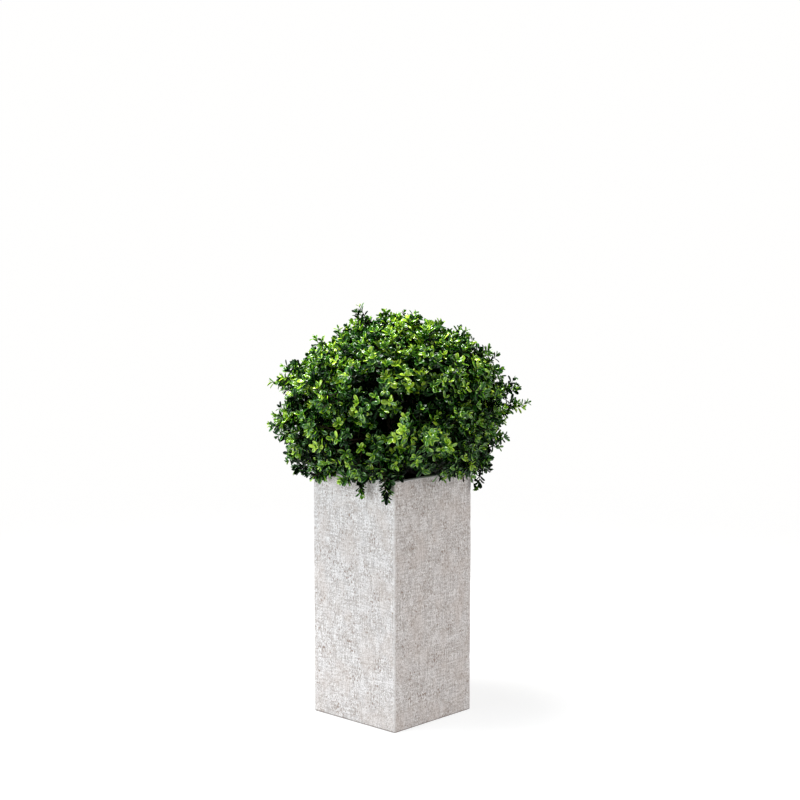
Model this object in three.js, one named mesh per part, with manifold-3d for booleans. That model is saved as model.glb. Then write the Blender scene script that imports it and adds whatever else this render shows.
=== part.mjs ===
// A box ball in a tall square planter, in millimetres, +Z up. The origin is the centre of the
// planter's flat underside. The planter stands on the floor and is filled with soil. One short
// stem rises from the soil and carries the boughs, and each bough carries one mass of foliage.
// The masses share the crown between them like the pieces of an orange, each in its own cell.
import * as THREE from "three";
import { mergeVertices } from "three/addons/utils/BufferGeometryUtils.js";
import Module from "manifold-3d";

const wasm = await Module();
wasm.setup();

const { Vector3, Matrix4, MathUtils } = THREE;

// ---- Driving dimensions ----

const PLANTER = { side: 300, height: 660, wall: 16, floor: 16, edgeRadius: 7, bevel: 3 };
const SOIL = { belowRim: 30, unevenness: 5, levelRadius: 66, innerRadius: 5, cells: 6 };
const STEM = { height: 125, footRadius: 26, radius: 15, tipRadius: 11, flare: 13, lean: 8 };
const SIDES = { stem: 10, bough: 6, twig: 3 };
const BOUGH = { footRadius: 6.5, tipRadius: 4.2, bendOut: 0.55, bendUp: 0.3 };
const TWIG = { footRadius: 4.4, tipRadius: 2.2, bendOut: 0.6, sag: 14 };
const LEAF = { length: 58, width: 31, thickness: 3.6, widestAt: 0.55, spacing: 20, sunk: 1.2 };
const LEAF_ROOM = 23; // between the middles of two leaves
const PAIR_OFFSET = 4; // along the twig, between the two leaves of a pair

// The crown is half an ellipsoid upwards and half another downwards, cut off level at its base.
const CROWN = { centreHeight: 835, radius: 324, rise: 252, drop: 312, baseHeight: 646 };
const LUMPS = 0.04; // how far the outline swells and dips, as a share of its reach

// Hollows in the outline: the direction of each, its width in degrees and its depth as a share.
const HOLLOWS = [
  { azimuth: -28, elevation: 8, width: 15, depth: 0.24 },
  { azimuth: -57, elevation: -12, width: 12, depth: 0.18 },
  { azimuth: 223, elevation: 42, width: 17, depth: 0.15 },
  { azimuth: 95, elevation: 12, width: 14, depth: 0.16 },
  { azimuth: 200, elevation: 2, width: 13, depth: 0.16 },
];

// The masses: one on top, a ring of shoulders, and a skirt that spreads over the rim.
const RINGS = [
  { name: "top", count: 1, elevation: 90, firstAzimuth: 0, forkAt: 1 },
  { name: "shoulder", count: 5, elevation: 31, firstAzimuth: 8, forkAt: 0.6 },
  { name: "skirt", count: 6, elevation: -23, firstAzimuth: -17, forkAt: 0.27 },
];
const FORK_STAGGER = 0.16; // every second bough of a ring leaves the stem this much higher
const RING_SWAY = 5; // degrees that a mass strays from its even place

// Where a mass lies between the crown's centre and its outline.
const SHARE = { boughTip: 0.26, heart: 0.52, core: 0.76, innerCore: 0.3 };
const CORE = { radius: 108, lumps: 0.1, step: 2 };

// Where the longest shoots reach: direction and distance from the axis, and height.
const LONG_SHOOTS = [
  { azimuth: 223, out: 90, height: 1108 },
  { azimuth: 36, out: 64, height: 1094 },
  { azimuth: 50, out: 98, height: 1088 },
  { azimuth: 150, out: 70, height: 1090 },
  { azimuth: 43, out: 372, height: 846 },
  { azimuth: 52, out: 352, height: 882 },
  { azimuth: 222, out: 338, height: 786 },
  { azimuth: 214, out: 330, height: 886 },
  { azimuth: 233, out: 332, height: 826 },
  { azimuth: 128, out: 340, height: 862 },
  { azimuth: -30, out: 338, height: 800 },
  { azimuth: -80, out: 338, height: 858 },
];
const HANG = { bendOut: 34, aboveRim: 30 }; // where a hanging shoot turns down
const HANGING_SHOOTS = [
  { azimuth: -50, out: 236, height: 606 },
  { azimuth: -71, out: 182, height: 608 },
  { azimuth: 42, out: 232, height: 602 },
  { azimuth: 172, out: 176, height: 612 },
  { azimuth: 100, out: 176, height: 618 },
];

const STATIONS = 136; // directions spread evenly over the whole sphere, one shoot in each
const LOWEST_STATION = -50; // degrees
const TIP_SHARE = [0.94, 1.02]; // how far a short shoot reaches, as a share of the outline
const PAIRS = { short: 2, long: 3 };
const LEAF_ANGLE = 50; // degrees between a leaf and its shoot

const FIT_GAP = 0.3; // between pieces that meet
const CELL_GAP = 3; // between neighbouring masses
const RIM_CLEARANCE = 4; // between the planter and the foliage
const LIMB_CLEARANCE = 22; // between the middle of a limb and the foliage

const SEED = { rings: 11, foliage: 29 };

// ---- Helpers ----

// The same numbers on every run, evenly spread from 0 to 1.
function seeded(seed) {
  let state = seed;
  return () => {
    state = (state * 1664525 + 1013904223) % 4294967296;
    return state / 4294967296;
  };
}

const between = (random, low, high) => low + (high - low) * random();

function towards(azimuth, elevation) {
  const a = MathUtils.degToRad(azimuth);
  const e = MathUtils.degToRad(elevation);
  return new Vector3(Math.cos(a) * Math.cos(e), Math.sin(a) * Math.cos(e), Math.sin(e));
}

function moveVertices(geometry, place) {
  const position = geometry.attributes.position;
  const point = new Vector3();
  for (let i = 0; i < position.count; i++) {
    point.fromBufferAttribute(position, i);
    place(point);
    position.setXYZ(i, point.x, point.y, point.z);
  }
  return geometry;
}

function everyVertex(geometry, test) {
  const position = geometry.attributes.position;
  const point = new Vector3();
  for (let i = 0; i < position.count; i++) {
    if (!test(point.fromBufferAttribute(position, i))) return false;
  }
  return true;
}

// Leaves only the places of a geometry's vertices, and joins those that share one place.
function welded(geometry) {
  const bare = geometry.clone();
  bare.deleteAttribute("normal");
  bare.deleteAttribute("uv");
  return mergeVertices(bare, 1e-3);
}

function solidFrom(geometry) {
  const { attributes, index } = welded(geometry);
  const mesh = new wasm.Mesh({
    numProp: 3,
    vertProperties: attributes.position.array,
    triVerts: new Uint32Array(index.array),
  });
  return new wasm.Manifold(mesh);
}

function geometryFrom(solid) {
  const { vertProperties, triVerts } = solid.getMesh();
  const geometry = new THREE.BufferGeometry();
  geometry.setAttribute("position", new THREE.BufferAttribute(vertProperties, 3));
  geometry.setIndex(new THREE.BufferAttribute(triVerts, 1));
  geometry.computeVertexNormals();
  return geometry;
}

// A closed surface passes along each edge once in each direction.
function isClosed(solid) {
  const corners = welded(geometryFrom(solid)).index.array;
  const passes = new Set();
  for (let i = 0; i < corners.length; i += 3) {
    const [a, b, c] = corners.subarray(i, i + 3);
    if (a === b || b === c || c === a) continue;
    for (const pass of [`${a} ${b}`, `${b} ${c}`, `${c} ${a}`]) {
      if (passes.has(pass)) return false;
      passes.add(pass);
    }
  }
  return true;
}

// Joins the pieces in turn and keeps the largest body, which fills sealed hollows and drops
// what hangs loose. A piece that would pinch the surface together along an edge is left out.
function fuse(pieces) {
  return pieces.reduce((whole, piece) => {
    const bodies = whole.add(piece).decompose();
    const joined = bodies.reduce((a, b) => (b.volume() > a.volume() ? b : a));
    return isClosed(joined) ? joined : whole;
  });
}

// A tapering limb: a cylinder bent along a curve, its radius given at each share of the way.
function limbGeometry(curve, radiusAt, sides, steps) {
  const frames = curve.computeFrenetFrames(steps);
  const rod = new THREE.CylinderGeometry(1, 1, 1, sides, steps);
  return moveVertices(rod, (point) => {
    const { x, z } = point;
    const share = point.y + 0.5;
    const step = Math.round(share * steps);
    curve.getPointAt(share, point);
    point.addScaledVector(frames.binormals[step], x * radiusAt(share));
    point.addScaledVector(frames.normals[step], z * radiusAt(share));
  });
}

const taper = (foot, tip) => (share) => MathUtils.lerp(foot, tip, share);

// ---- Planter and soil ----

function roundedSquare(side, radius) {
  const corner = side / 2 - radius;
  const quarter = Math.PI / 2;
  const shape = new THREE.Shape();
  shape.absarc(corner, -corner, radius, -quarter, 0);
  shape.absarc(corner, corner, radius, 0, quarter);
  shape.absarc(-corner, corner, radius, quarter, 2 * quarter);
  shape.absarc(-corner, -corner, radius, 2 * quarter, 3 * quarter);
  return shape;
}

function prism(side, radius, low, high, bevel = 0) {
  const geometry = new THREE.ExtrudeGeometry(roundedSquare(side, radius), {
    depth: high - low - 2 * bevel,
    curveSegments: 3,
    bevelEnabled: bevel > 0,
    bevelThickness: bevel,
    bevelSize: bevel,
    bevelOffset: -bevel,
    bevelSegments: 1,
  });
  return solidFrom(geometry.translate(0, 0, low + bevel));
}

const INNER_SIDE = PLANTER.side - 2 * PLANTER.wall;
const GROUND = PLANTER.height - SOIL.belowRim;

function planterSolid() {
  const outside = prism(PLANTER.side, PLANTER.edgeRadius, 0, PLANTER.height, PLANTER.bevel);
  const inside = prism(INNER_SIDE, SOIL.innerRadius, PLANTER.floor, PLANTER.height * 1.1);
  return outside.subtract(inside);
}

// The soil fills the planter. Its top is uneven, but level round the stem.
function soilSolid() {
  const side = INNER_SIDE - 2 * FIT_GAP;
  const low = PLANTER.floor + FIT_GAP;
  const depth = GROUND - low;
  const block = new THREE.BoxGeometry(side, side, depth, SOIL.cells, SOIL.cells, 1);
  moveVertices(block.translate(0, 0, low + depth / 2), (point) => {
    if (point.z < GROUND - 1) return;
    const out = Math.hypot(point.x, point.y);
    const share = MathUtils.smoothstep(out, SOIL.levelRadius, INNER_SIDE / 2);
    point.z += SOIL.unevenness * share * Math.sin(point.x / 19) * Math.sin(point.y / 23);
  });
  return solidFrom(block).intersect(prism(side, SOIL.innerRadius, 0, PLANTER.height));
}

// ---- The crown's outline ----

const CENTRE = new Vector3(0, 0, CROWN.centreHeight);
const hollows = HOLLOWS.map((hollow) => ({
  ...hollow,
  axis: towards(hollow.azimuth, hollow.elevation),
}));

// How far the crown, or a smaller share of it, reaches from its centre in a direction.
function crownReach(direction, share = 1) {
  const { x, y, z } = direction;
  const height = z > 0 ? CROWN.rise : CROWN.drop;
  const ellipsoid = 1 / Math.hypot(x / CROWN.radius, y / CROWN.radius, z / height);
  const lump = Math.sin(5.3 * x + 1.1) * Math.sin(4.7 * y + 0.4) * Math.sin(5.9 * z + 2);
  let reach = ellipsoid * (1 + LUMPS * lump) * share;
  for (const { axis, width, depth } of hollows) {
    const away = MathUtils.radToDeg(axis.angleTo(direction)) / width;
    reach *= 1 - depth * Math.exp(-away * away);
  }
  const toBase = (CROWN.centreHeight - CROWN.baseHeight) / Math.max(-z, 1e-6);
  return Math.min(reach, toBase);
}

const inCrown = (direction, share) =>
  CENTRE.clone().addScaledVector(direction, crownReach(direction, share));

// ---- The masses and their cells ----

const ringRandom = seeded(SEED.rings);
const masses = RINGS.flatMap(({ name, count, elevation, firstAzimuth, forkAt }) =>
  Array.from({ length: count }, (_, i) => {
    const azimuth = firstAzimuth + (360 * i) / count;
    const sway = count > 1 ? RING_SWAY : 0;
    return {
      name: count > 1 ? `${name}_${i + 1}` : name,
      axis: towards(
        azimuth + between(ringRandom, -sway, sway),
        elevation + between(ringRandom, -sway, sway),
      ),
      forkAt: Math.min(forkAt + (i % 2) * FORK_STAGGER, 1),
      taken: [],
    };
  }),
);

// A cell's walls stand half way to each other mass, and all pass through the crown's centre.
for (const mass of masses) {
  const others = masses.filter((other) => other !== mass);
  mass.walls = others.map((other) => mass.axis.clone().sub(other.axis).normalize());
}

function roomInCell(mass, point) {
  const fromCentre = point.clone().sub(CENTRE);
  const rooms = mass.walls.map((wall) => wall.dot(fromCentre));
  return Math.min(...rooms) - CELL_GAP / 2;
}

const ownerOf = (direction) =>
  masses.reduce((a, b) => (b.axis.dot(direction) > a.axis.dot(direction) ? b : a));

function clearOfPlanter(point) {
  const half = PLANTER.side / 2 + RIM_CLEARANCE;
  const beside = Math.max(Math.abs(point.x), Math.abs(point.y)) > half;
  return beside || point.z > PLANTER.height + RIM_CLEARANCE;
}

// ---- Stem and boughs ----

const stemFoot = new Vector3(0, 0, GROUND + FIT_GAP);
const stemTop = new Vector3(STEM.lean, -STEM.lean / 2, GROUND + STEM.height);
const stemBend = new Vector3(0, 0, GROUND + STEM.height / 2);
const stemCurve = new THREE.QuadraticBezierCurve3(stemFoot, stemBend, stemTop);

function stemRadius(share) {
  const flare = Math.exp((-share * STEM.height) / STEM.flare);
  const bare = MathUtils.lerp(STEM.radius, STEM.tipRadius, share);
  return bare + (STEM.footRadius - STEM.radius) * flare;
}

const stemSolid = (margin = 0) =>
  solidFrom(limbGeometry(stemCurve, (share) => stemRadius(share) + margin, SIDES.stem, 8));

for (const mass of masses) {
  const onAxis = mass.forkAt === 1;
  mass.fork = stemCurve.getPointAt(mass.forkAt);
  if (onAxis) mass.fork.addScaledVector(stemCurve.getTangentAt(1), FIT_GAP);
  mass.entry = inCrown(mass.axis, SHARE.boughTip);
  mass.heart = inCrown(mass.axis, SHARE.heart);
  const bend = mass.fork.clone().lerp(mass.entry, BOUGH.bendOut);
  bend.z = MathUtils.lerp(mass.fork.z, mass.entry.z, BOUGH.bendUp);
  mass.boughCurve = new THREE.QuadraticBezierCurve3(mass.fork, bend, mass.entry);
}

// Points close together along every limb.
const limbPoints = [stemCurve, ...masses.map((mass) => mass.boughCurve)].flatMap((curve) =>
  curve.getSpacedPoints(12),
);
const clearOfLimbs = (point) =>
  limbPoints.every((limbPoint) => limbPoint.distanceTo(point) > LIMB_CLEARANCE);

const isFree = (mass, point) =>
  roomInCell(mass, point) > 0 && clearOfPlanter(point) && clearOfLimbs(point);

function boughSolid(mass, stem) {
  const radius = taper(BOUGH.footRadius, BOUGH.tipRadius);
  return solidFrom(limbGeometry(mass.boughCurve, radius, SIDES.bough, 3)).subtract(stem);
}

// ---- Foliage ----

// The core of a mass: a lumpy ball round its heart, pressed in where its cell is narrow.
function coreSolid(mass, random) {
  const phase = between(random, 0, 2 * Math.PI);
  const isCore = (point) => {
    const direction = point.clone().sub(CENTRE);
    const distance = direction.length();
    direction.normalize();
    const outer = crownReach(direction, SHARE.core);
    const inner = crownReach(direction, SHARE.innerCore);
    return isFree(mass, point) && distance < outer && distance > inner;
  };
  const ball = new THREE.IcosahedronGeometry(1, 2);
  moveVertices(ball, (point) => {
    const direction = point.clone().normalize();
    const lump = Math.sin(4 * direction.x + phase) * Math.sin(4 * direction.y - phase);
    const most = CORE.radius * (1 + CORE.lumps * lump);
    let radius = most / 4;
    while (radius < most && isCore(point.copy(mass.heart).addScaledVector(direction, radius))) {
      radius += CORE.step;
    }
    point.copy(mass.heart).addScaledVector(direction, radius - 2 * CORE.step);
  });
  return solidFrom(ball);
}

// One leaf of eight faces, lying in XY and pointing along +X from its root.
const leafShape = moveVertices(new THREE.OctahedronGeometry(1, 0), (point) => {
  const onMidrib = Math.abs(point.x) > 0.5;
  point.x = LEAF.length * (onMidrib ? (point.x + 1) / 2 : LEAF.widestAt);
  point.y *= LEAF.width / 2;
  point.z *= LEAF.thickness / 2;
});

function leafAt(point, along, facing, size) {
  const across = facing.clone().cross(along).normalize();
  const normal = along.clone().cross(across);
  const root = point.clone().addScaledVector(along, -LEAF.sunk);
  const matrix = new Matrix4().makeBasis(along, across, normal);
  matrix.scale(new Vector3(size, size, 1)).setPosition(root);
  return leafShape.clone().applyMatrix4(matrix);
}

// A shoot's twig bends from the mass's stem to one leaf's length short of the shoot's tip.
function twigCurve(foot, bend, tip) {
  const end = bend.clone().sub(tip).setLength(LEAF.length - LEAF.sunk).add(tip);
  return new THREE.QuadraticBezierCurve3(foot, bend, end);
}

// One leaf at the tip, then opposite pairs, each pair a quarter turn on from the last. The two
// leaves of a pair stand a little apart along the twig, so that their roots don't meet in it.
function leavesOn(curve, pairs, turn, random) {
  const length = curve.getLength();
  const spread = MathUtils.degToRad(LEAF_ANGLE);
  const leafOn = (back, quarters, size) => {
    const share = 1 - back / length;
    const tangent = curve.getTangentAt(share);
    const side = new Vector3(0.3, 0.2, 0.9).cross(tangent).normalize();
    side.applyAxisAngle(tangent, turn + (quarters * Math.PI) / 2);
    const along = tangent.clone().multiplyScalar(Math.cos(spread));
    along.addScaledVector(side, Math.sin(spread));
    return leafAt(curve.getPointAt(share), along, tangent, size);
  };
  const tangent = curve.getTangentAt(1);
  const facing = new Vector3(0, 0, 1).applyAxisAngle(tangent, between(random, 0, Math.PI));
  const tip = leafAt(curve.getPointAt(1), tangent, facing, 1);
  const paired = Array.from({ length: 2 * pairs }, (_, i) => {
    const pair = 1 + Math.floor(i / 2);
    const back = pair * LEAF.spacing + (i % 2) * PAIR_OFFSET;
    return leafOn(back, pair + 2 * (i % 2), between(random, 0.85, 1.1));
  });
  return [tip, ...paired];
}

// Leaves that would crowd one already in place, or lie sunk in the core, aren't kept.
function thinned(leaves, taken) {
  return leaves.filter((leaf) => {
    leaf.computeBoundingSphere();
    const middle = leaf.boundingSphere.center;
    const direction = middle.clone().sub(CENTRE);
    if (direction.length() < crownReach(direction.normalize(), SHARE.core)) return false;
    if (taken.some((other) => other.distanceTo(middle) < LEAF_ROOM)) return false;
    taken.push(middle);
    return true;
  });
}

// A twig and its leaves, turned round it to where most fit. What would leave the mass's space
// is skipped.
function shootSolids(mass, bend, tip, pairs, random) {
  const foot = mass.entry.clone().lerp(mass.heart, between(random, 0.6, 1));
  const curve = twigCurve(foot, bend, tip);
  const twig = limbGeometry(curve, taper(TWIG.footRadius, TWIG.tipRadius), SIDES.twig, 2);
  const fits = (geometry) => everyVertex(geometry, (point) => isFree(mass, point));
  if (!fits(twig)) return [];
  const tries = [0, 1, 2].map((sixth) =>
    leavesOn(curve, pairs, (sixth * Math.PI) / 6, random).filter(fits),
  );
  const leaves = tries.reduce((a, b) => (b.length > a.length ? b : a));
  return [twig, ...thinned(leaves, mass.taken)].map(solidFrom);
}

// Evenly spread directions, each drawn in from the walls of the cell it falls in.
const stations = Array.from({ length: STATIONS }, (_, i) => {
  const goldenAngle = 180 * (3 - Math.sqrt(5));
  const elevation = MathUtils.radToDeg(Math.asin(1 - (2 * i + 1) / STATIONS));
  return { elevation, direction: towards(i * goldenAngle, elevation) };
}).filter(({ elevation }) => elevation > LOWEST_STATION);

for (const station of stations) {
  station.mass = ownerOf(station.direction);
  while (roomInCell(station.mass, inCrown(station.direction, 1)) < LEAF.width / 2) {
    station.direction.lerp(station.mass.axis, 1 / 16).normalize();
  }
}

function shortShoots(mass, random) {
  const own = stations.filter((station) => station.mass === mass);
  return own.flatMap(({ direction }) => {
    const tip = inCrown(direction, between(random, ...TIP_SHARE));
    const bend = mass.heart.clone().lerp(tip, TWIG.bendOut);
    bend.z -= between(random, 0, TWIG.sag);
    return shootSolids(mass, bend, tip, PAIRS.short, random);
  });
}

const tipOf = ({ azimuth, out, height }) =>
  towards(azimuth, 0).multiplyScalar(out).setZ(height);

const owned = (mass) => (shoot) => ownerOf(tipOf(shoot).sub(CENTRE).normalize()) === mass;

function longShoots(mass, random) {
  return LONG_SHOOTS.filter(owned(mass)).flatMap((shoot) => {
    const tip = tipOf(shoot);
    const bend = mass.heart.clone().lerp(tip, TWIG.bendOut);
    bend.z -= TWIG.sag;
    return shootSolids(mass, bend, tip, PAIRS.long, random);
  });
}

// A hanging shoot passes over the rim and turns down in front of the planter.
function hangingShoots(mass, random) {
  return HANGING_SHOOTS.filter(owned(mass)).flatMap((shoot) => {
    const tip = tipOf(shoot);
    const out = shoot.out + HANG.bendOut;
    const bend = tipOf({ ...shoot, out, height: PLANTER.height + HANG.aboveRim });
    return shootSolids(mass, bend, tip, PAIRS.short, random);
  });
}

// The mass's own stem takes over from the bough's tip and turns to the heart.
function massStem(mass) {
  const onward = mass.boughCurve.getTangentAt(1);
  const start = mass.entry.clone().addScaledVector(onward, FIT_GAP);
  const bend = start.clone().addScaledVector(onward, start.distanceTo(mass.heart) / 2);
  const curve = new THREE.QuadraticBezierCurve3(start, bend, mass.heart);
  const radius = taper(BOUGH.tipRadius, TWIG.footRadius);
  return solidFrom(limbGeometry(curve, radius, SIDES.bough, 2));
}

function foliageSolid(mass, number) {
  const random = seeded(SEED.foliage + number);
  return fuse([
    coreSolid(mass, random),
    massStem(mass),
    ...shortShoots(mass, random),
    ...longShoots(mass, random),
    ...hangingShoots(mass, random),
  ]);
}

// ---- Assembly ----

const finish = (color, roughness) =>
  new THREE.MeshStandardMaterial({ color, roughness, metalness: 0 });

const bark = finish("#6f5c45", 0.85);
const leafGreens = [finish("#476b2d", 0.5), finish("#527a33", 0.5), finish("#3f6229", 0.5)];

const topiary = new THREE.Group();

function addPart(name, solid, material) {
  const mesh = new THREE.Mesh(geometryFrom(solid), material);
  mesh.name = name;
  topiary.add(mesh);
}

addPart("planter", planterSolid(), finish("#d3cfca", 0.8));
addPart("soil", soilSolid(), finish("#3a2e24", 0.95));
addPart("stem", stemSolid(), bark);
const stemWithGap = stemSolid(FIT_GAP);
masses.forEach((mass, number) => {
  addPart(`bough_${mass.name}`, boughSolid(mass, stemWithGap), bark);
  addPart(`foliage_${mass.name}`, foliageSolid(mass, number), leafGreens[number % 3]);
});

export default topiary;
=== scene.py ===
# %% [markdown]
# # A box ball in a tall square planter
# A box bush, clipped round and grown out a little since, stands in a square planter nearly as
# high as a table. Its looks are all in small things: more than thirty-two thousand glossy
# leaves on thin shoots, and a pale planter with a skin like linen.
# The scene starts from a packed model of plain solids. Better finishes on those solids would be
# the quick way, but a leafy crown needs real leaves. So each solid is only measured here, and
# a detailed piece takes its place.

# %% Load the packed model
import itertools
import math

import bpy
import numpy as np
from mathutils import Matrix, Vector


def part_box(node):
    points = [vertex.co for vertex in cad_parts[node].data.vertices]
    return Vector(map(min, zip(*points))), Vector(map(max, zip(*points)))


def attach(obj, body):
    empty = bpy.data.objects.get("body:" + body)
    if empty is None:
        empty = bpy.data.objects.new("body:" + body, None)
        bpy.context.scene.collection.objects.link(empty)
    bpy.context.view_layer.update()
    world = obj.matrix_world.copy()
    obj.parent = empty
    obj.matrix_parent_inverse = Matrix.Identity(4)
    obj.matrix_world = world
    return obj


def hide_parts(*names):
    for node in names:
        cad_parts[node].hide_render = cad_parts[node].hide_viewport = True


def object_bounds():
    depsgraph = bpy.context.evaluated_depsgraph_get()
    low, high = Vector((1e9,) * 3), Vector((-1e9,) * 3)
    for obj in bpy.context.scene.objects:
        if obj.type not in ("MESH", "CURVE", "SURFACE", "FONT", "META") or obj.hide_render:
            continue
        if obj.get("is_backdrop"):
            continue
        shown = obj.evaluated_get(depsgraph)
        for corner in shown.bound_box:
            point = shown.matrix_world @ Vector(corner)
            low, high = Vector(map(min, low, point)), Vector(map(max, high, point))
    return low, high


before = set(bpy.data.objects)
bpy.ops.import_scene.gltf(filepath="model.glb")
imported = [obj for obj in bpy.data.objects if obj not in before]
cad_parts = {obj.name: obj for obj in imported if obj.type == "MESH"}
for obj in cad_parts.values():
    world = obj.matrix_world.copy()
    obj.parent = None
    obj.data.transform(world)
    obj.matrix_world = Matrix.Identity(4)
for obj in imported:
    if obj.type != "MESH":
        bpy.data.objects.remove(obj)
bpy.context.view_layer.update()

# %% [markdown]
# ## Camera and light
# The bush is seen from a little above its middle, past one corner of the planter.
# Sunlight would cut the crown up with hard shades. So three soft square lamps are used: a
# bluish one on the camera's left, a weaker one on its right that opens the shades, and one
# overhead that puts glints on the upper leaves. An even pale world stands for studio walls. It
# is seen brighter than it lights, so the background is blank while the hollows stay dark.

# %% Camera
CAMERA = {"place": (3.1028, -3.2744, 1.3605), "azimuth": 43.2, "down": 6.49, "lens": 76.7}


def aimed(blender_object, direction):
    """Turns a camera or lamp so that it looks along a direction."""
    blender_object.rotation_euler = Vector(direction).to_track_quat("-Z", "Y").to_euler()


turn, pitch = math.radians(CAMERA["azimuth"]), math.radians(CAMERA["down"])
ahead = np.array([-math.sin(turn), math.cos(turn), 0])
rightward = np.array([math.cos(turn), math.sin(turn), 0])
camera = bpy.data.objects.new("camera", bpy.data.cameras.new("camera"))
camera.data.lens = CAMERA["lens"]
camera.location = CAMERA["place"]
aimed(camera, ahead * math.cos(pitch) - np.array([0, 0, math.sin(pitch)]))
bpy.context.scene.collection.objects.link(camera)
bpy.context.scene.camera = camera
bpy.context.scene.view_settings.view_transform = "Standard"
print("camera at", CAMERA["place"])

# %% World and lamps
WORLD = {"colour": (1.0, 0.997, 0.992), "light": 0.27, "seen": 1.0}
PLAIN, SKY = (1.0, 0.99, 0.975), (0.84, 0.94, 1.0)
LAMPS = {  # right of, behind and above the planter's foot, height aimed at, size, watts, colour
    "side": ((-1.95, -1.32, 1.10), 0.62, 1.4, 34.4, SKY),
    "fill": ((2.1, -1.17, 1.45), 0.70, 1.4, 15.3, PLAIN),
    "top": ((-0.6, -0.05, 3.3), 0.85, 1.2, 152, PLAIN),
}

world = bpy.data.worlds.new("studio")
world.use_nodes = True
nodes, links = world.node_tree.nodes, world.node_tree.links
nodes["Background"].inputs["Color"].default_value = (*WORLD["colour"], 1)
sight = nodes.new("ShaderNodeLightPath")
strength = nodes.new("ShaderNodeMapRange")
strength.inputs["To Min"].default_value = WORLD["light"]
strength.inputs["To Max"].default_value = WORLD["seen"]
links.new(sight.outputs["Is Camera Ray"], strength.inputs["Value"])
links.new(strength.outputs["Result"], nodes["Background"].inputs["Strength"])
bpy.context.scene.world = world

for name, ((right, behind, up), aim, size, watts, colour) in LAMPS.items():
    light = bpy.data.objects.new(name + "_lamp", bpy.data.lights.new(name + "_lamp", "AREA"))
    light.data.size = size
    light.data.energy = watts
    light.data.color = colour
    place = rightward * right + ahead * behind + np.array([0, 0, up])
    light.location = place
    aimed(light, np.array([0, 0, aim]) - place)
    bpy.context.scene.collection.objects.link(light)
    print(light.name, "at", np.round(place, 2))

# %% [markdown]
# ## The crown's outline
# A clipped ball is never quite round: it swells and dips, has hollows and gaps where a shoot
# died back, and ends level at the planter's rim. The outline could be read off a mesh, but a
# rule is easier to grow leaves to: it says how far the crown reaches in any direction. The
# rule and its sizes are those that the plain solids were made by, in metres.

# %% Sizes of the crown
CENTRE = np.array([0, 0, 0.835])
CROWN = {"radius": 0.324, "rise": 0.252, "drop": 0.312, "base": 0.646, "lumps": 0.04}
LUMPS = [(5.3, 1.1), (4.7, 0.4), (5.9, 2)]  # the waves along x, y and z: how fast, and the start
HOLLOWS = [  # azimuth, elevation and width in degrees, depth, share of shoots that is missing
    (-28, 8, 15, 0.24, 0.9), (-57, -12, 12, 0.18, 0.5), (223, 42, 17, 0.15, 0.0),
    (95, 12, 14, 0.16, 0.8), (200, 2, 13, 0.16, 0.8),
    # gaps among the shoots, without a dip
    (-24, -37, 13, 0.0, 1.0), (-33, 6, 8, 0.0, 1.0), (-51, 0, 8, 0.0, 1.0),
    (-61, 17, 9, 0.0, 1.0), (-75, -15, 10, 0.0, 0.9), (-92, -20, 7, 0.0, 0.8),
    # swellings
    (45, 33, 20, -0.03, 0.0), (223, -30, 13, -0.06, 0.0),
]
print("about", 2 * CROWN["radius"], "m wide, with", len(HOLLOWS), "hollows, gaps and swellings")

# %% How far the crown reaches


def towards(azimuth, elevation):
    """The direction at an azimuth and elevation in degrees."""
    a, e = np.radians(azimuth), np.radians(elevation)
    return np.stack([np.cos(a) * np.cos(e), np.sin(a) * np.cos(e), np.sin(e) + 0 * a], axis=-1)


def closeness(directions, azimuth, elevation, width):
    """1 towards an azimuth and elevation, fading out over about width degrees."""
    cosine = directions @ towards(azimuth, elevation)
    return np.exp(-((np.degrees(np.arccos(np.clip(cosine, -1, 1))) / width) ** 2))


def crown_reach(directions, share=1.0):
    """How far the crown, or a smaller share of it, reaches from its centre."""
    x, y, z = np.moveaxis(directions, -1, 0)
    height = np.where(z > 0, CROWN["rise"], CROWN["drop"])
    reach = 1 / np.sqrt((x * x + y * y) / CROWN["radius"] ** 2 + (z / height) ** 2)
    waves = [np.sin(fast * line + start) for line, (fast, start) in zip((x, y, z), LUMPS)]
    reach = reach * (1 + CROWN["lumps"] * math.prod(waves)) * share
    for azimuth, elevation, width, depth, _ in HOLLOWS:
        reach = reach * (1 - depth * closeness(directions, azimuth, elevation, width))
    return np.minimum(reach, (CENTRE[2] - CROWN["base"]) / np.maximum(-z, 1e-6))


def in_crown(directions, share=1.0):
    return CENTRE + directions * np.asarray(crown_reach(directions, share))[..., None]


print("the crown's top is at", np.round(in_crown(towards(0.0, 90.0)), 3))

# %% [markdown]
# ## Masses of foliage
# One short stem carries twelve boughs, and each bough carries one mass of foliage: one on top,
# a ring of shoulders and a skirt over the rim. Random numbers could place them afresh, but
# the pieces here replace solids that are already placed, so the same small number rule with
# the same seed is used, and each mass falls where its solid is.

# %% Evenly spaced points on a curve


def curve(foot, bend, tip, t):
    """The place at share t of a curve from foot to tip that bend pulls aside."""
    return (1 - t) ** 2 * foot + 2 * t * (1 - t) * bend + t**2 * tip


def travelled(points):
    """How far each point of a path lies along it."""
    return np.cumsum(np.linalg.norm(np.diff(points, axis=0, prepend=points[:1]), axis=1))


def even_curve(foot, bend, tip, count):
    """Points evenly spaced along one such curve."""
    fine = curve(foot, bend, tip, np.linspace(0, 1, 8 * count)[:, None])
    along = travelled(fine)
    wanted = np.linspace(0, along[-1], count)
    return np.stack([np.interp(wanted, along, column) for column in fine.T], axis=-1)


bow = even_curve(np.zeros(2), np.array([0, 1]), np.ones(2), 4)
print("four points on a bow:", np.round(bow, 2).tolist())

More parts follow.
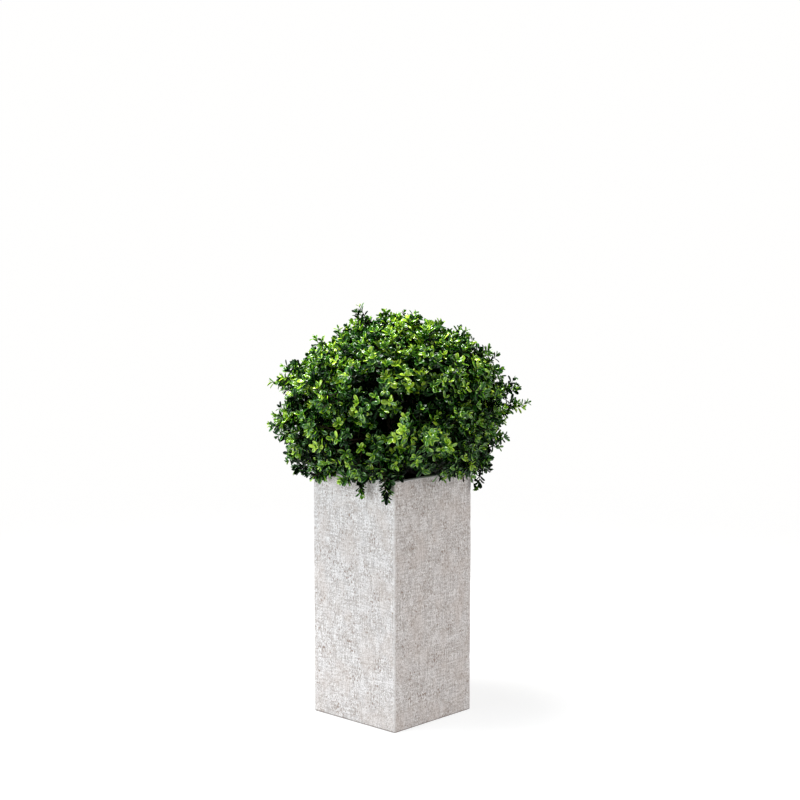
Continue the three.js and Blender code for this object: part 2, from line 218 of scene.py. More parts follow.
# %% Masses, their boughs and the stem
RINGS = [  # name, number of masses, elevation, first azimuth, where the boughs leave the stem
    ("top", 1, 90, 0, 1), ("shoulder", 5, 31, 8, 0.6), ("skirt", 6, -23, -17, 0.27),
]
RING_SWAY, RING_SEED, FORK_STAGGER = 5, 11, 0.16
SHARE = {"bough_tip": 0.26, "heart": 0.52}
BEND = {"out": 0.55, "up": 0.3}
STEM_LEAN = (0.008, -0.004)
STEM_STEPS, BOUGH_POINTS = 100, 25


def seeded(seed):
    """The same numbers on every run, evenly spread from 0 to 1."""
    state = seed
    while True:
        state = (state * 1664525 + 1013904223) % 2**32
        yield state / 2**32


soil_top = round(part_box("stem")[0].z, 3)
stem_top = np.array([*STEM_LEAN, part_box("stem")[1].z])
stem_foot = np.array([0, 0, soil_top])
stem_bend = (stem_foot + (0, 0, stem_top[2])) / 2
stem_line = even_curve(stem_foot, stem_bend, stem_top, STEM_STEPS + 1)
masses = []
sway = (2 * RING_SWAY * number - RING_SWAY for number in seeded(RING_SEED))
for ring, count, elevation, first, fork_share in RINGS:
    for i in range(count):
        loose = int(count > 1)
        azimuth = first + 360 * i / count + loose * next(sway)
        axis = towards(azimuth, elevation + loose * next(sway))
        name = ring + (f"_{i + 1}" if loose else "")
        fork = stem_line[round(STEM_STEPS * min(fork_share + i % 2 * FORK_STAGGER, 1))]
        entry, heart = in_crown(axis, SHARE["bough_tip"]), in_crown(axis, SHARE["heart"])
        bend = fork + (entry - fork) * (BEND["out"], BEND["out"], BEND["up"])
        line = even_curve(fork, bend, entry, BOUGH_POINTS)
        masses.append({"name": name, "axis": axis, "entry": entry, "heart": heart, "line": line})
mass_axes = np.array([mass["axis"] for mass in masses])
print(len(masses), "masses:", ", ".join(mass["name"] for mass in masses))

# %% [markdown]
# ## Main twigs
# From the heart of each mass, twigs fan out to directions spread evenly over the whole ball.
# A grid would set them in rows, so the golden angle spreads them: each turns on from the last
# by it. A few long shoots stand out of the clipped outline, and some hang down over the rim.
# The skirt's hem isn't level: it is lifted in two places and sags in two more.

# %% Sizes of the main twigs
STATIONS = {"count": 136, "lowest": -50, "share": (0.94, 1.01)}
LONG_SHOOTS = [  # azimuth, distance from the axis, height
    (223, 0.094, 1.108), (36, 0.034, 1.094), (50, 0.066, 1.090), (150, 0.070, 1.090),
    (43, 0.372, 0.846), (52, 0.352, 0.882), (222, 0.340, 0.784), (214, 0.342, 0.890),
    (233, 0.324, 0.818), (128, 0.340, 0.862), (-30, 0.338, 0.800), (-80, 0.338, 0.858),
    (43, 0.136, 1.060), (38, 0.196, 1.024), (46, 0.302, 0.930), (222, 0.212, 1.022),
    (224, 0.300, 0.944),
]
HANGING_SHOOTS = [
    (-50, 0.236, 0.612), (-72, 0.182, 0.608), (42, 0.224, 0.602), (172, 0.176, 0.612),
    (100, 0.176, 0.618),
]
HANG = {"out": 0.034, "above_rim": 0.030}
TWIG = {"start": (0.6, 1), "bend": 0.6, "sag": 0.014}
LOWEST_TIP = {"above_rim": 0.004, "beside": 0.03, "hang": 0.014}
SKIRT_HEMS = [  # azimuth, width, lift
    (-24, 12, 0.034), (22, 18, 0.018), (-43, 6, -0.014), (-67, 10, -0.013),
]
TIP_ROOM = 0.0125  # the leaves at a shoot's tip reach on past it
print(len(LONG_SHOOTS), "long shoots and", len(HANGING_SHOOTS), "hanging ones")

# %% Where twigs may end
planter_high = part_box("planter")[1]
rim, half_side = planter_high.z, planter_high.x


def unit(vectors):
    return vectors / np.linalg.norm(vectors, axis=-1, keepdims=True)


def golden_directions(count, lowest):
    """Directions spread evenly over the whole ball, down to the lowest elevation."""
    i = np.arange(count)
    elevation = np.degrees(np.arcsin(1 - (2 * i + 1) / count))
    directions = towards(i * 180 * (3 - math.sqrt(5)), elevation)
    return directions[elevation > lowest]


def owner_of(points):
    """Which mass each point belongs to."""
    return np.argmax(unit(points - CENTRE) @ mass_axes.T, axis=-1)


def at(places, out=0.0):
    azimuth, distance, height = np.array(places, float).T
    spot = towards(azimuth, 0.0) * (distance + out)[:, None]
    spot[:, 2] = height
    return spot


def hem(tips):
    """The lowest height at which a shoot may end at each place."""
    lowest = np.full(len(tips), rim + LOWEST_TIP["above_rim"])
    lowest -= LOWEST_TIP["hang"] * (np.abs(tips[:, :2]).max(1) > half_side + LOWEST_TIP["beside"])
    azimuth = np.degrees(np.arctan2(tips[:, 1], tips[:, 0]))
    for middle, width, lift in SKIRT_HEMS:
        lowest += lift * np.exp(-(((azimuth - middle) / width) ** 2))
    return lowest


print("the rim is", round(rim, 3), "m up and", round(half_side, 3), "m from the middle")

# %% Main twigs, long shoots and hanging shoots
chance = np.random.default_rng(29)
stations = golden_directions(STATIONS["count"], STATIONS["lowest"])
short_tips = in_crown(stations, chance.uniform(*STATIONS["share"], len(stations)))
short_tips[:, 2] = np.maximum(short_tips[:, 2], hem(short_tips))
main_tip = np.concatenate([short_tips, at(LONG_SHOOTS), at(HANGING_SHOOTS)])
counts = [len(stations), len(LONG_SHOOTS), len(HANGING_SHOOTS)]
main_kind = np.repeat(["clipped", "long", "hanging"], counts)
main_owner = owner_of(main_tip)
entries = np.array([mass["entry"] for mass in masses])[main_owner]
hearts = np.array([mass["heart"] for mass in masses])[main_owner]
main_foot = entries + (hearts - entries) * chance.uniform(*TWIG["start"], (len(main_tip), 1))
main_bend = hearts + (main_tip - hearts) * TWIG["bend"]
main_bend[:, 2] -= TWIG["sag"] * chance.uniform(0, 1, len(main_tip))
turned_down = at(HANGING_SHOOTS, HANG["out"])
turned_down[:, 2] = rim + HANG["above_rim"]
main_bend[-len(HANGING_SHOOTS):] = turned_down
main_tip -= unit(main_tip - main_bend) * TIP_ROOM
print(len(main_tip), "main twigs")

# %% [markdown]
# ## Fine shoots
# Every main twig branches into a tuft of thin shoots, which carry most of the leaves. They could
# be scattered anywhere, but real ones grow out of a twig. So each fine shoot aims at a point of
# the outline, leaves the nearest main twig a little further in and turns up to the light.
# Shoots between two tufts stay shorter, which makes soft lobes with dark gaps between them. A
# deeper layer fills the crown's inside, and a few stray shoots stand out of it, as they do some
# weeks after clipping. The long and the hanging shoots get side shoots of their own.

# %% Sizes of the fine shoots
SHOOTS = {
    "outer": {"count": 1750, "share": (0.88, 0.99), "scatter": 2.2, "bare": 1.0},
    "inner": {"count": 900, "share": (0.64, 0.82), "scatter": 4.0, "bare": 0.4},
    "stray": {"count": 560, "share": (0.97, 1.035), "scatter": 3.0, "bare": 1.0},
}
TUFT = {"width": 9.5, "dip": 0.155, "most": 1.2}
FINE = {"shortest": 0.045, "lowest": -52, "bend": 0.5, "loose": 0.30}
FEET = (16, 0.96)  # places on a main twig where a shoot may start, up to this share of it
OUTWARD = {"below": -0.3, "share": 0.55}  # low shoots lean outwards
UPWARD = {"above": -0.6, "share": 0.70}  # and all but the lowest turn up
TIP_SWAY = 0.012
SIDE_SHOOTS = {"count": 4, "back": (0.004, 0.050), "out": (0.010, 0.026), "hanging": 0.5}
print(sum(sizes["count"] for sizes in SHOOTS.values()), "fine shoots would fill a whole ball")

# %% Where a fine shoot starts
batches = []


def add_shoots(layer, foot, bend, tip, owner, kind="clipped"):
    """Notes a batch of shoots, with one row for each under every key."""
    batch = {"foot": foot, "bend": bend, "tip": tip, "owner": owner}
    batches.append({**batch, "layer": np.full(len(tip), layer), "kind": np.full(len(tip), kind)})


def many_curves(foot, bend, tip, count, last=1):
    """A row of points for each of many curves, from the foot to the last share of it."""
    t = np.linspace(0, last, count)[:, None]
    return curve(foot[:, None], bend[:, None], tip[:, None], t)


def nearest_foot(tips, owners):
    """The nearest point of a main twig of the same mass that lies deeper than the tip."""
    along = many_curves(main_foot, main_bend, main_tip, *FEET)
    feet = np.empty_like(tips)
    for number in range(len(masses)):
        spots = along[main_owner == number].reshape(-1, 3)
        mine = np.flatnonzero(owners == number)
        away = np.linalg.norm(tips[mine, None] - spots[None], axis=-1)
        depth = np.linalg.norm(tips[mine] - CENTRE, axis=-1)[:, None]
        deeper = depth - np.linalg.norm(spots - CENTRE, axis=-1)[None]
        away = np.where(deeper > FINE["shortest"], away, away + 1)  # a metre more: comes last
        feet[mine] = spots[np.argmin(away, axis=1)]
    return feet


add_shoots("main", main_foot, main_bend, main_tip, main_owner, main_kind)
print(len(batches[0]["tip"]), "main twigs to start from")

# %% Grow the fine shoots
main_direction = unit(main_tip[: len(stations)] - CENTRE)
for layer, sizes in SHOOTS.items():
    aim = golden_directions(sizes["count"], FINE["lowest"])
    aim = unit(aim + np.radians(sizes["scatter"]) * chance.normal(0, 1, aim.shape))
    from_tuft = np.degrees(np.arccos(np.clip((aim @ main_direction.T).max(1), -1, 1)))
    dip = TUFT["dip"] * np.minimum(from_tuft / TUFT["width"], TUFT["most"]) ** 2
    tip = in_crown(aim, chance.uniform(*sizes["share"], len(aim)) - dip)
    tip[:, 2] = np.maximum(tip[:, 2], hem(tip) + chance.uniform(0, TIP_SWAY, len(aim)))
    foot = nearest_foot(tip, owner_of(tip))
    level = unit(aim * (1, 1, 0.001))  # not quite flat, so that it has a length at the top too
    bare = sum(missing * closeness(aim, *hollow) for *hollow, _, missing in HOLLOWS)
    grown = chance.uniform(0, 1, len(aim)) > bare * sizes["bare"]
    lean = unit(aim + OUTWARD["share"] * level * (aim[:, 2:] < OUTWARD["below"]))
    lift = UPWARD["share"] * np.clip(aim[:, 2:] - UPWARD["above"], 0, 1)
    lean = unit(lean + lift * (0, 0, 1) + FINE["loose"] * chance.normal(0, 1, aim.shape))
    tip -= lean * TIP_ROOM
    gap = np.linalg.norm(tip - foot, axis=1, keepdims=True)
    bend = tip - lean * gap * FINE["bend"]
    add_shoots(layer, foot[grown], bend[grown], tip[grown], owner_of(tip[grown]))
    print(layer, "shoots:", grown.sum(), "of", len(aim))

# %% Side shoots of the long and the hanging ones
spread = np.repeat([1.0, SIDE_SHOOTS["hanging"]], counts[1:])
spread = np.repeat(spread, SIDE_SHOOTS["count"])[:, None]
long_tip = np.repeat(main_tip[len(stations):], SIDE_SHOOTS["count"], axis=0)
outward = unit(long_tip - CENTRE)
aside = unit(np.cross(outward, chance.normal(0, 1, outward.shape)))
tip = long_tip - outward * chance.uniform(*SIDE_SHOOTS["back"], (len(outward), 1))
tip += aside * spread * chance.uniform(*SIDE_SHOOTS["out"], (len(outward), 1))
foot = nearest_foot(tip, owner_of(long_tip))
bend = (foot + tip) / 2 - aside * SIDE_SHOOTS["out"][0] / 2
add_shoots("stray", foot, bend, tip, owner_of(long_tip))
shoots = {key: np.concatenate([batch[key] for batch in batches]) for key in batches[0]}
print(len(shoots["tip"]), "shoots before the planter is cleared")

# %% [markdown]
# No shoot may pass through the planter's wall, so those that would are left out. The ball
# was grown first and cleared afterwards, because a shoot's path is only known then.

# %% Clear the planter
RIM_CLEARANCE, PATH_POINTS = 0.0035, 9


def clear_of_planter(points):
    beside = np.abs(points[..., :2]).max(-1) > half_side + RIM_CLEARANCE
    return beside | (points[..., 2] > rim + RIM_CLEARANCE)


path = many_curves(shoots["foot"], shoots["bend"], shoots["tip"], PATH_POINTS)
kept = clear_of_planter(path).all(axis=1)
shoots = {key: value[kept] for key, value in shoots.items()}
shoots["length"] = np.linalg.norm(np.diff(path[kept], axis=1), axis=-1).sum(axis=1)
print(len(shoots["tip"]), "shoots are clear of it,", round(shoots["length"].mean(), 3), "m long")

# %% [markdown]
# ## Where the leaves stand
# Box leaves stand in opposite pairs, each pair a quarter turn on from the last. At the tip the
# pairs crowd into a rosette of young, small leaves, and further back they are full grown and
# stand out more. Long shoots have their pairs further apart, and hanging ones hold them closer.
# A particle system could scatter leaves, but it knows nothing of pairs. So the places are
# worked out here, pair by pair behind each tip, in tables that hold all shoots at once.

# %% Sizes of the leaf pairs
PAIRS = {  # distance behind the tip, angle to the shoot, share of the full size
    "back": np.array([0.0005, 0.004, 0.012, 0.022, 0.033, 0.045, 0.058, 0.072]),
    "angle": np.array([26, 46, 56, 62, 66, 69, 71, 72]),
    "size": np.array([0.58, 0.84, 0.98, 1.0, 1.0, 0.98, 0.94, 0.9]),
}
LEAF_LENGTH = 0.0222
KINDS = {  # how far apart, how large and how wide open the leaves stand on each kind of shoot
    "clipped": (1.0, 1.0, 1.0), "long": (1.2, 0.86, 0.88), "hanging": (0.92, 0.94, 0.66),
}
LEAF_SWAY = {"apart": (0.85, 1.15), "turn": 13, "angle": 9, "roll": 18}
SIZE_SWAY = {"leaf": (0.10, 0.75, 1.12), "shoot": (0.12, 0.65, 1.1)}  # spread, least and most
print(len(PAIRS["back"]), "pairs on a shoot, with leaves", LEAF_LENGTH, "m long")

# %% Leaf places


def turned(first, second, angle):
    """A direction turned by an angle towards a second one that stands square to it."""
    return np.cos(angle)[..., None] * first + np.sin(angle)[..., None] * second


def size_sway(kind, shape):
    spread, least, most = SIZE_SWAY[kind]
    return np.clip(chance.normal(1, spread, shape), least, most)


rows, pairs = len(shoots["tip"]), len(PAIRS["back"])
apart, large, wide = np.array([KINDS[kind] for kind in shoots["kind"]]).T[..., None]
back = PAIRS["back"] * chance.uniform(*LEAF_SWAY["apart"], (rows, 1)) * apart
t = (1 - back / shoots["length"][:, None])[..., None]
foot, bend, tip = (shoots[key][:, None] for key in ("foot", "bend", "tip"))
spot = curve(foot, bend, tip, t)
tangent = unit((1 - t) * (bend - foot) + t * (tip - bend))
side = unit(np.cross(unit(chance.normal(0, 1, (rows, 1, 3))), tangent))
other = np.cross(tangent, side)
quarter = np.arange(pairs) * 90 + chance.uniform(0, 360, (rows, 1))
quarter = quarter[..., None] + np.array([0, 180])
quarter = np.radians(quarter + chance.normal(0, LEAF_SWAY["turn"], quarter.shape))
spread = (PAIRS["angle"] * wide)[..., None]
spread = np.radians(spread + chance.normal(0, LEAF_SWAY["angle"], quarter.shape))
out = turned(side[:, :, None], other[:, :, None], quarter)
along = turned(tangent[:, :, None], out, spread)
facing = turned(-out, tangent[:, :, None], spread)
across = np.cross(facing, along)
roll = np.radians(chance.normal(0, LEAF_SWAY["roll"], quarter.shape))
facing, across = turned(facing, across, roll), turned(across, -facing, roll)
size = PAIRS["size"][:, None] * LEAF_LENGTH * size_sway("leaf", quarter.shape)
size = size * size_sway("shoot", (rows, 1, 1)) * large[..., None]
print(quarter.size, "leaf places")

# %% Keep the leaves that have room
BARE_FOOT = 0.010  # metres of a shoot without leaves
MISSING = 0.04
HALF_WIDTH = 0.27  # of a leaf's length, tested at its middle

root = np.broadcast_to(spot[:, :, None], along.shape)
reach = size[..., None]
ends = [root, root + 0.5 * reach * along, root + reach * along]
ends += [ends[1] + HALF_WIDTH * reach * across, ends[1] - HALF_WIDTH * reach * across]
good = np.all([clear_of_planter(end) for end in ends], axis=0)
good &= (back < (shoots["length"] - BARE_FOOT)[:, None])[..., None]
good &= chance.uniform(0, 1, good.shape) > MISSING
keep = np.nonzero(good)
leaf = {"root": root, "along": along, "across": across, "facing": facing, "size": size}
leaf = {key: value[keep] for key, value in leaf.items()}
leaf.update(shoot=keep[0], pair=keep[1], owner=shoots["owner"][keep[0]])
print(len(leaf["size"]), "leaves")

# %% [markdown]
# ## Helpers for finishes
# A finish is a net of nodes round a surface shader. It could be drawn in the shader editor, but
# here each node is added and linked in one call, so that the recipe for bark or stone is short.

# %% Colours from a paint chart


def chart_colour(red, green, blue):
    """A colour in the 0 to 255 numbers of a paint chart, as the linear shares Blender uses."""
    value = np.array([red, green, blue]) / 255
    return (*np.where(value < 0.04045, value / 12.92, ((value + 0.055) / 1.055) ** 2.4), 1)


print("half-way grey is", np.round(chart_colour(128, 128, 128)[0], 3), "as a linear share")

# %% A finish made of nodes


class Finish:
    """A material that is built up node by node around one plain surface."""

    def __init__(self, name, roughness):
        self.material = bpy.data.materials.new(name)
        self.material.use_nodes = True
        self.nodes = self.material.node_tree.nodes
        self.links = self.material.node_tree.links
        self.surface = self.nodes["Principled BSDF"]
        self.feed(self.surface, {"Roughness": roughness})

    def feed(self, node, sockets):
        """Gives each socket a plain value, or a link from another node's output."""
        for socket, value in sockets.items():
            if isinstance(value, bpy.types.NodeSocket):
                self.links.new(value, node.inputs[socket])
            else:
                node.inputs[socket].default_value = value

    def add(self, kind, sockets):
        node = self.nodes.new("ShaderNode" + kind)
        self.feed(node, sockets)
        return node

    def chart(self):
        node = self.add("UVMap", {})
        node.uv_map = "chart"
        return node.outputs["UV"]

    def place(self):
        return self.add("TexCoord", {}).outputs["Object"]

    def math(self, operation, first, second=0.0):
        node = self.add("Math", {0: first, 1: second})
        node.operation = operation
        return node.outputs["Value"]

    def noise(self, place, scale, detail=3):
        """A noise stretched across and up a chart, from about 0.3 to 0.7."""
        stretch = self.add("Mapping", {"Vector": place, "Scale": (*scale, 1)})
        sockets = {"Vector": stretch.outputs["Vector"], "Scale": 1, "Detail": detail}
        return self.add("TexNoise", sockets).outputs["Fac"]

    def fade(self, value, sizes):
        """From 0, where a value is "from", to 1 or a smaller share, where it is "to"."""
        sockets = {"Value": value, "From Min": sizes["from"], "From Max": sizes["to"]}
        node = self.add("MapRange", {**sockets, "To Max": sizes.get("share", 1.0)})
        node.interpolation_type = sizes.get("kind", "LINEAR")
        return node.outputs["Result"]

    def mix(self, share, first, second):
        node = self.nodes.new("ShaderNodeMix")
        node.data_type = "RGBA"
        self.feed(node, {0: share, 6: first, 7: second})
        return node.outputs[2]

    def two_tone(self, value, sizes):
        """The dark colour at a low value and the pale one at a high value."""
        dark, pale = chart_colour(*sizes["dark"]), chart_colour(*sizes["pale"])
        return self.mix(self.fade(value, sizes), dark, pale)

    def dress(self, colour, height, bump):
        """Colours the surface and roughens it; bump is a strength and a depth in metres."""
        sockets = {"Height": height, "Strength": bump[0], "Distance": bump[1]}
        normal = self.add("Bump", sockets).outputs["Normal"]
        self.feed(self.surface, {"Base Color": colour, "Normal": normal})
        print(self.material.name, "has", len(self.nodes), "nodes")
        return self.material


print("a finish can", ", ".join(step for step in vars(Finish) if not step.startswith("_")))

# %% [markdown]
# ## Leaf colours
# Young leaves at the tips are yellow-green and older ones dark, and some shoots are fresher
# than others. A material with a pattern could colour them all, but it wouldn't follow single
# leaves. So eight greens are mixed as plain colours, and each shoot is dealt one: shoots deep
# inside or underneath are darker, which is painted shade, and fresh ones are commonest at the
# front. Neighbours are alike, so part of a shoot's tone comes from random numbers that change
# smoothly over the crown. The rosette at the tip is about two greens lighter and the pairs
# further back darker, partly for their age and partly as painted shade deeper in the crown.
# Each leaf's edge is one green lighter than its middle, partly a paler margin and partly a
# painted highlight. The darkest greens are nearly matt, because no lamp reaches them.

# %% Eight greens
GREENS = [  # name, colour and gloss
    ("leaf_deep", (1, 11, 1), 0.03), ("leaf_dark", (7, 31, 5), 0.12),
    ("leaf_shade", (14, 52, 7), 0.2), ("leaf_mid", (35, 87, 13), 0.5),
    ("leaf_green", (68, 122, 19), 0.9), ("leaf_fresh", (110, 160, 22), 1.0),
    ("leaf_lime", (150, 196, 30), 1.0), ("leaf_young", (190, 224, 62), 1.0),
]
LEAF_ROUGHNESS = 0.18


def plain_material(name, colour, roughness, gloss):
    finish = Finish(name, roughness)
    sockets = {"Base Color": chart_colour(*colour), "Specular IOR Level": gloss}
    finish.feed(finish.surface, sockets)
    return finish.material


leaf_materials = [
    plain_material(name, colour, LEAF_ROUGHNESS, gloss) for name, colour, gloss in GREENS
]
print(len(leaf_materials), "greens")

# %% Smooth random numbers
CELL_KEYS, SEED_KEY = (73856093, 19349663, 83492791), 15485863
SCRAMBLE = ((7, 668265263), (13, 374761393))


def drift(points, size, seed=0):
    """Numbers from -1 to 1 that change smoothly over about size metres."""
    cell = np.asarray(points) / size
    low = np.floor(cell).astype(np.int64)
    share = cell - low
    share = share * share * (3 - 2 * share)
    total = np.zeros(len(cell))
    for step in itertools.product((0, 1), repeat=3):
        key = ((low + step) * CELL_KEYS).sum(-1) + SEED_KEY * seed
        for bits, factor in SCRAMBLE:
            key = (key ^ (key >> bits)) * factor % 2**32
        weight = np.where(step, share, 1 - share).prod(-1)
        total += weight * (key / 2**31 - 1)
    return total


print("drift at three places:", np.round(drift([[0, 0, 0], [0.1, 0, 0], [0.2, 0, 0]], 0.05), 2))

# %% Deal the greens out by shoot
# inner darkens the shoots deep in the crown: painted shade
TONE = {"middle": 1.65, "sway": 1.0, "inner": -2.6, "young": 1.6, "leaf": 1.0}
TONE_DRIFT = {"share": 0.75, "size": 0.07}
# painted shade: shoots underneath get darker greens
UNDERNEATH_PAINTED_SHADE = (0.2, 0.6), (0, -1.3)  # from here to here below the centre, from 0 to this tone
YOUNG = {"chance": 0.15, "more": 0.28, "front": (-46, -4, 45)}
# young pairs lighter, older pairs darker: partly their age, partly painted shade deeper in the
# crown
TIP_AGE_AND_SHADE_LIFT = np.array([2.5, 1.9, 0.8, -0.1, -0.8, -1.3, -1.7, -2.1])
# the lighter leaf edge is partly a paler margin and partly a painted highlight
LEAF_EDGE_PALE_AND_HIGHLIGHT = (-0.45, 0.95)  # what the middle and the edge of a leaf differ from its tone

aim = unit(shoots["tip"] - CENTRE)
inner = shoots["layer"] == "inner"
tone = TONE["middle"] + TONE_DRIFT["share"] * drift(shoots["tip"], TONE_DRIFT["size"])
# painted shade on the inner shoots
tone += chance.normal(0, TONE["sway"], rows) + TONE["inner"] * inner
front = closeness(aim, *YOUNG["front"])
young = chance.uniform(0, 1, rows) < YOUNG["chance"] + YOUNG["more"] * front
# the term for shoots underneath is painted shade
tone += TONE["young"] * (young & ~inner) + np.interp(-aim[:, 2], *UNDERNEATH_PAINTED_SHADE)
# each pair's lift is partly age and partly painted shade
leaf["tone"] = tone[leaf["shoot"]] + TIP_AGE_AND_SHADE_LIFT[leaf["pair"]]
leaf["tone"] += chance.normal(0, TONE["leaf"], len(leaf["tone"]))


def green_number(tone):
    return np.clip(np.round(tone), 0, len(GREENS) - 1).astype(int)


print("leaves of each green:", np.bincount(green_number(leaf["tone"])))

# %% [markdown]
# ## Helpers for meshes
# Modelling tools such as bmesh make one face at a time, which is slow for half a million faces.
# numpy works on whole tables of points at once, and Blender takes such a table in one go.
# So every piece here is a table of points and some tables of faces, and each of them names the
# solid that it stands for.

# %% One mesh from tables of points and faces


def add_piece(name, points, faces, materials, shades=None, chart=None):
    """Makes an object. faces holds one table for each number of corners; shades says which
    material each face has, and chart gives each face corner a place on a flat sheet."""
    mesh = bpy.data.meshes.new(name)
    corners = np.concatenate([table.ravel() for table in faces])
    sizes = np.concatenate([np.full(len(table), table.shape[1]) for table in faces])
    mesh.vertices.add(len(points))
    mesh.vertices.foreach_set("co", np.asarray(points, np.float32).ravel())
    mesh.loops.add(len(corners))
    mesh.loops.foreach_set("vertex_index", corners.astype(np.int32))
    mesh.polygons.add(len(sizes))
    mesh.polygons.foreach_set("loop_start", (np.cumsum(sizes) - sizes).astype(np.int32))
    for material in materials:
        mesh.materials.append(material)
    if shades is not None:
        mesh.polygons.foreach_set("material_index", np.asarray(shades, np.int32))
    if chart is not None:
        layer = mesh.uv_layers.new(name="chart")
        layer.data.foreach_set("uv", np.asarray(chart, np.float32).ravel())
    mesh.update(calc_edges=True)
    mesh.shade_smooth()
    piece = bpy.data.objects.new(name, mesh)
    bpy.context.scene.collection.objects.link(piece)
    print(name, "has", len(points), "points and", int((sizes - 2).sum()), "triangles")
    return piece


def stand_for(piece, slot, *nodes):
    """The piece moves with the planter and replaces solids; slot is not used."""
    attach(piece, "root")
    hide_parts(*nodes)


print(len(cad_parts), "solids wait for their pieces")

# %% [markdown]
# ## Leaf shape
# A box leaf is a small spoon: widest past its middle, round at the tip, folded a little along
# the midrib, with its tip curled back. One leaf is drawn as two domed halves of eleven points
# each, and numpy sets a copy at each place. The copies are real faces, not instances, so each
# leaf has its own fold and curl, and each mass's leaves are one mesh.

# %% One leaf
LEAF_WIDTH, WIDTH_SWAY = 0.49, (0.88, 1.12)
CUP, FOLD, CURL = 0.30, (0.10, 0.55), (-0.02, 0.24)
PROFILE = [(0.20, 0.58), (0.52, 1.0), (0.84, 0.80)]  # along, half width
CREST = 0.55  # the highest line of each half, as a share of its width
midrib = [(0, 0)] + [(s, 0) for s, _ in PROFILE] + [(1.0, 0)]
half = midrib + [(s, w * CREST) for s, w in PROFILE] + PROFILE
blade = np.array(half + [(s, -v) for s, v in half])
bowed = np.repeat([0, 1, -1], [len(midrib), len(PROFILE), len(PROFILE)])
bowed = np.tile(bowed, 2)[None, :, None]
half_faces = {
    3: [(0, 1, 5), (3, 4, 7), (0, 5, 8), (7, 4, 10)],
    4: [(1, 2, 6, 5), (2, 3, 7, 6), (5, 6, 9, 8), (6, 7, 10, 9)],
}
leaf_faces = {
    corners: np.array(faces + [tuple(len(half) + k for k in face[::-1]) for face in faces])
    for corners, faces in half_faces.items()
}
print("a leaf has", len(blade), "points and", sum(map(len, leaf_faces.values())), "faces")

# %% Grow the leaves


def leaf_points(places):
    """All points of the leaves at some places."""
    count = len(places["size"])
    length = places["size"][:, None, None]
    s, v = blade[None, :, :1], blade[None, :, 1:]
    width = length * LEAF_WIDTH / 2 * chance.uniform(*WIDTH_SWAY, (count, 1, 1))
    fold = chance.uniform(*FOLD, (count, 1, 1))
    curl = chance.uniform(*CURL, (count, 1, 1))
    rise = width * (fold * np.abs(v) + CUP * bowed * np.sqrt(s)) - length * curl * s**2
    points = places["root"][:, None] + places["along"][:, None] * length * s
    return points + places["across"][:, None] * width * v + places["facing"][:, None] * rise


def repeated(faces, count, step):
    """The faces of one shape, again for each of its copies."""
    return (faces[None] + step * np.arange(count)[:, None, None]).reshape(-1, faces.shape[1])


for number, mass in enumerate(masses):
    mine = leaf["owner"] == number
    places = {key: value[mine] for key, value in leaf.items()}
    count = len(places["size"])
    points = leaf_points(places).reshape(-1, 3)
    tables = [repeated(faces, count, len(blade)) for faces in leaf_faces.values()]
    # edge faces get a paler margin that is partly a painted highlight
    tones = places["tone"][:, None] + np.tile(np.repeat(LEAF_EDGE_PALE_AND_HIGHLIGHT, 2), 2)
    shades = np.concatenate([green_number(tones).ravel()] * len(tables))
    leaves = add_piece("leaves_" + mass["name"], points, tables, leaf_materials, shades)
    stand_for(leaves, "foliage", "foliage_" + mass["name"])

# %% [markdown]
# ## Twigs
# Under the leaves the crown is a web of thin twigs: grey-brown where it is woody, and green
# near the tips. Curves with a bevel would make them, but thousands of curve objects are slow.
# So one helper sweeps a small ring along many curves at once and closes both ends.

# %% Tubes along many curves
TUBES = {  # points along it, radius at the foot and the tip, sides
    "mass stem": (10, 0.0042, 0.0030, 8), "wood": (9, 0.0030, 0.0007, 5),
    "shoot": (6, 0.0011, 0.0005, 3),
}
STEEP = 0.8  # steeper paths take another first side


def tube_faces(rings, sides):
    """The walls between rings of points that follow one another, and the two end faces."""
    i, j = np.meshgrid(np.arange(rings - 1) * sides, np.arange(sides), indexing="ij")
    onward = (j + 1) % sides
    walls = np.stack([i + j, i + onward, i + sides + onward, i + sides + j], -1).reshape(-1, 4)
    return walls, np.array([np.arange(sides)[::-1], (rings - 1) * sides + np.arange(sides)])


def swept(paths, foot, tip, sides):
    """Tapering tubes along paths (one row each): their points, and their walls and ends."""
    count, steps = paths.shape[:2]
    tangent = unit(np.gradient(paths, axis=1))
    steep = np.abs(tangent[:, :1, 2:]) > STEEP
    side = unit(np.cross(np.where(steep, [1.0, 0, 0], [0, 0, 1.0]), tangent))
    other = np.cross(tangent, side)
    angle = np.linspace(0, 2 * np.pi, sides, endpoint=False)
    ring = turned(side[:, :, None], other[:, :, None], angle)
    radius = np.linspace(foot, tip, steps)[:, None, None]
    points = (paths[:, :, None] + radius * ring).reshape(-1, 3)
    return points, [repeated(table, count, steps * sides) for table in tube_faces(steps, sides)]


print("sides of the tubes:", {kind: sizes[-1] for kind, sizes in TUBES.items()})

# %% Twig meshes


def joined(parts):
    """Several swept parts, each with the number of its material, as the tables of one mesh."""
    points = [part_points for part_points, _, _ in parts]
    starts = np.cumsum([0] + [len(part_points) for part_points in points])
    faces = [table + start for (_, tables, _), start in zip(parts, starts) for table in tables]
    shades = [np.full(len(table), shade) for _, tables, shade in parts for table in tables]
    return np.concatenate(points), faces, np.concatenate(shades)


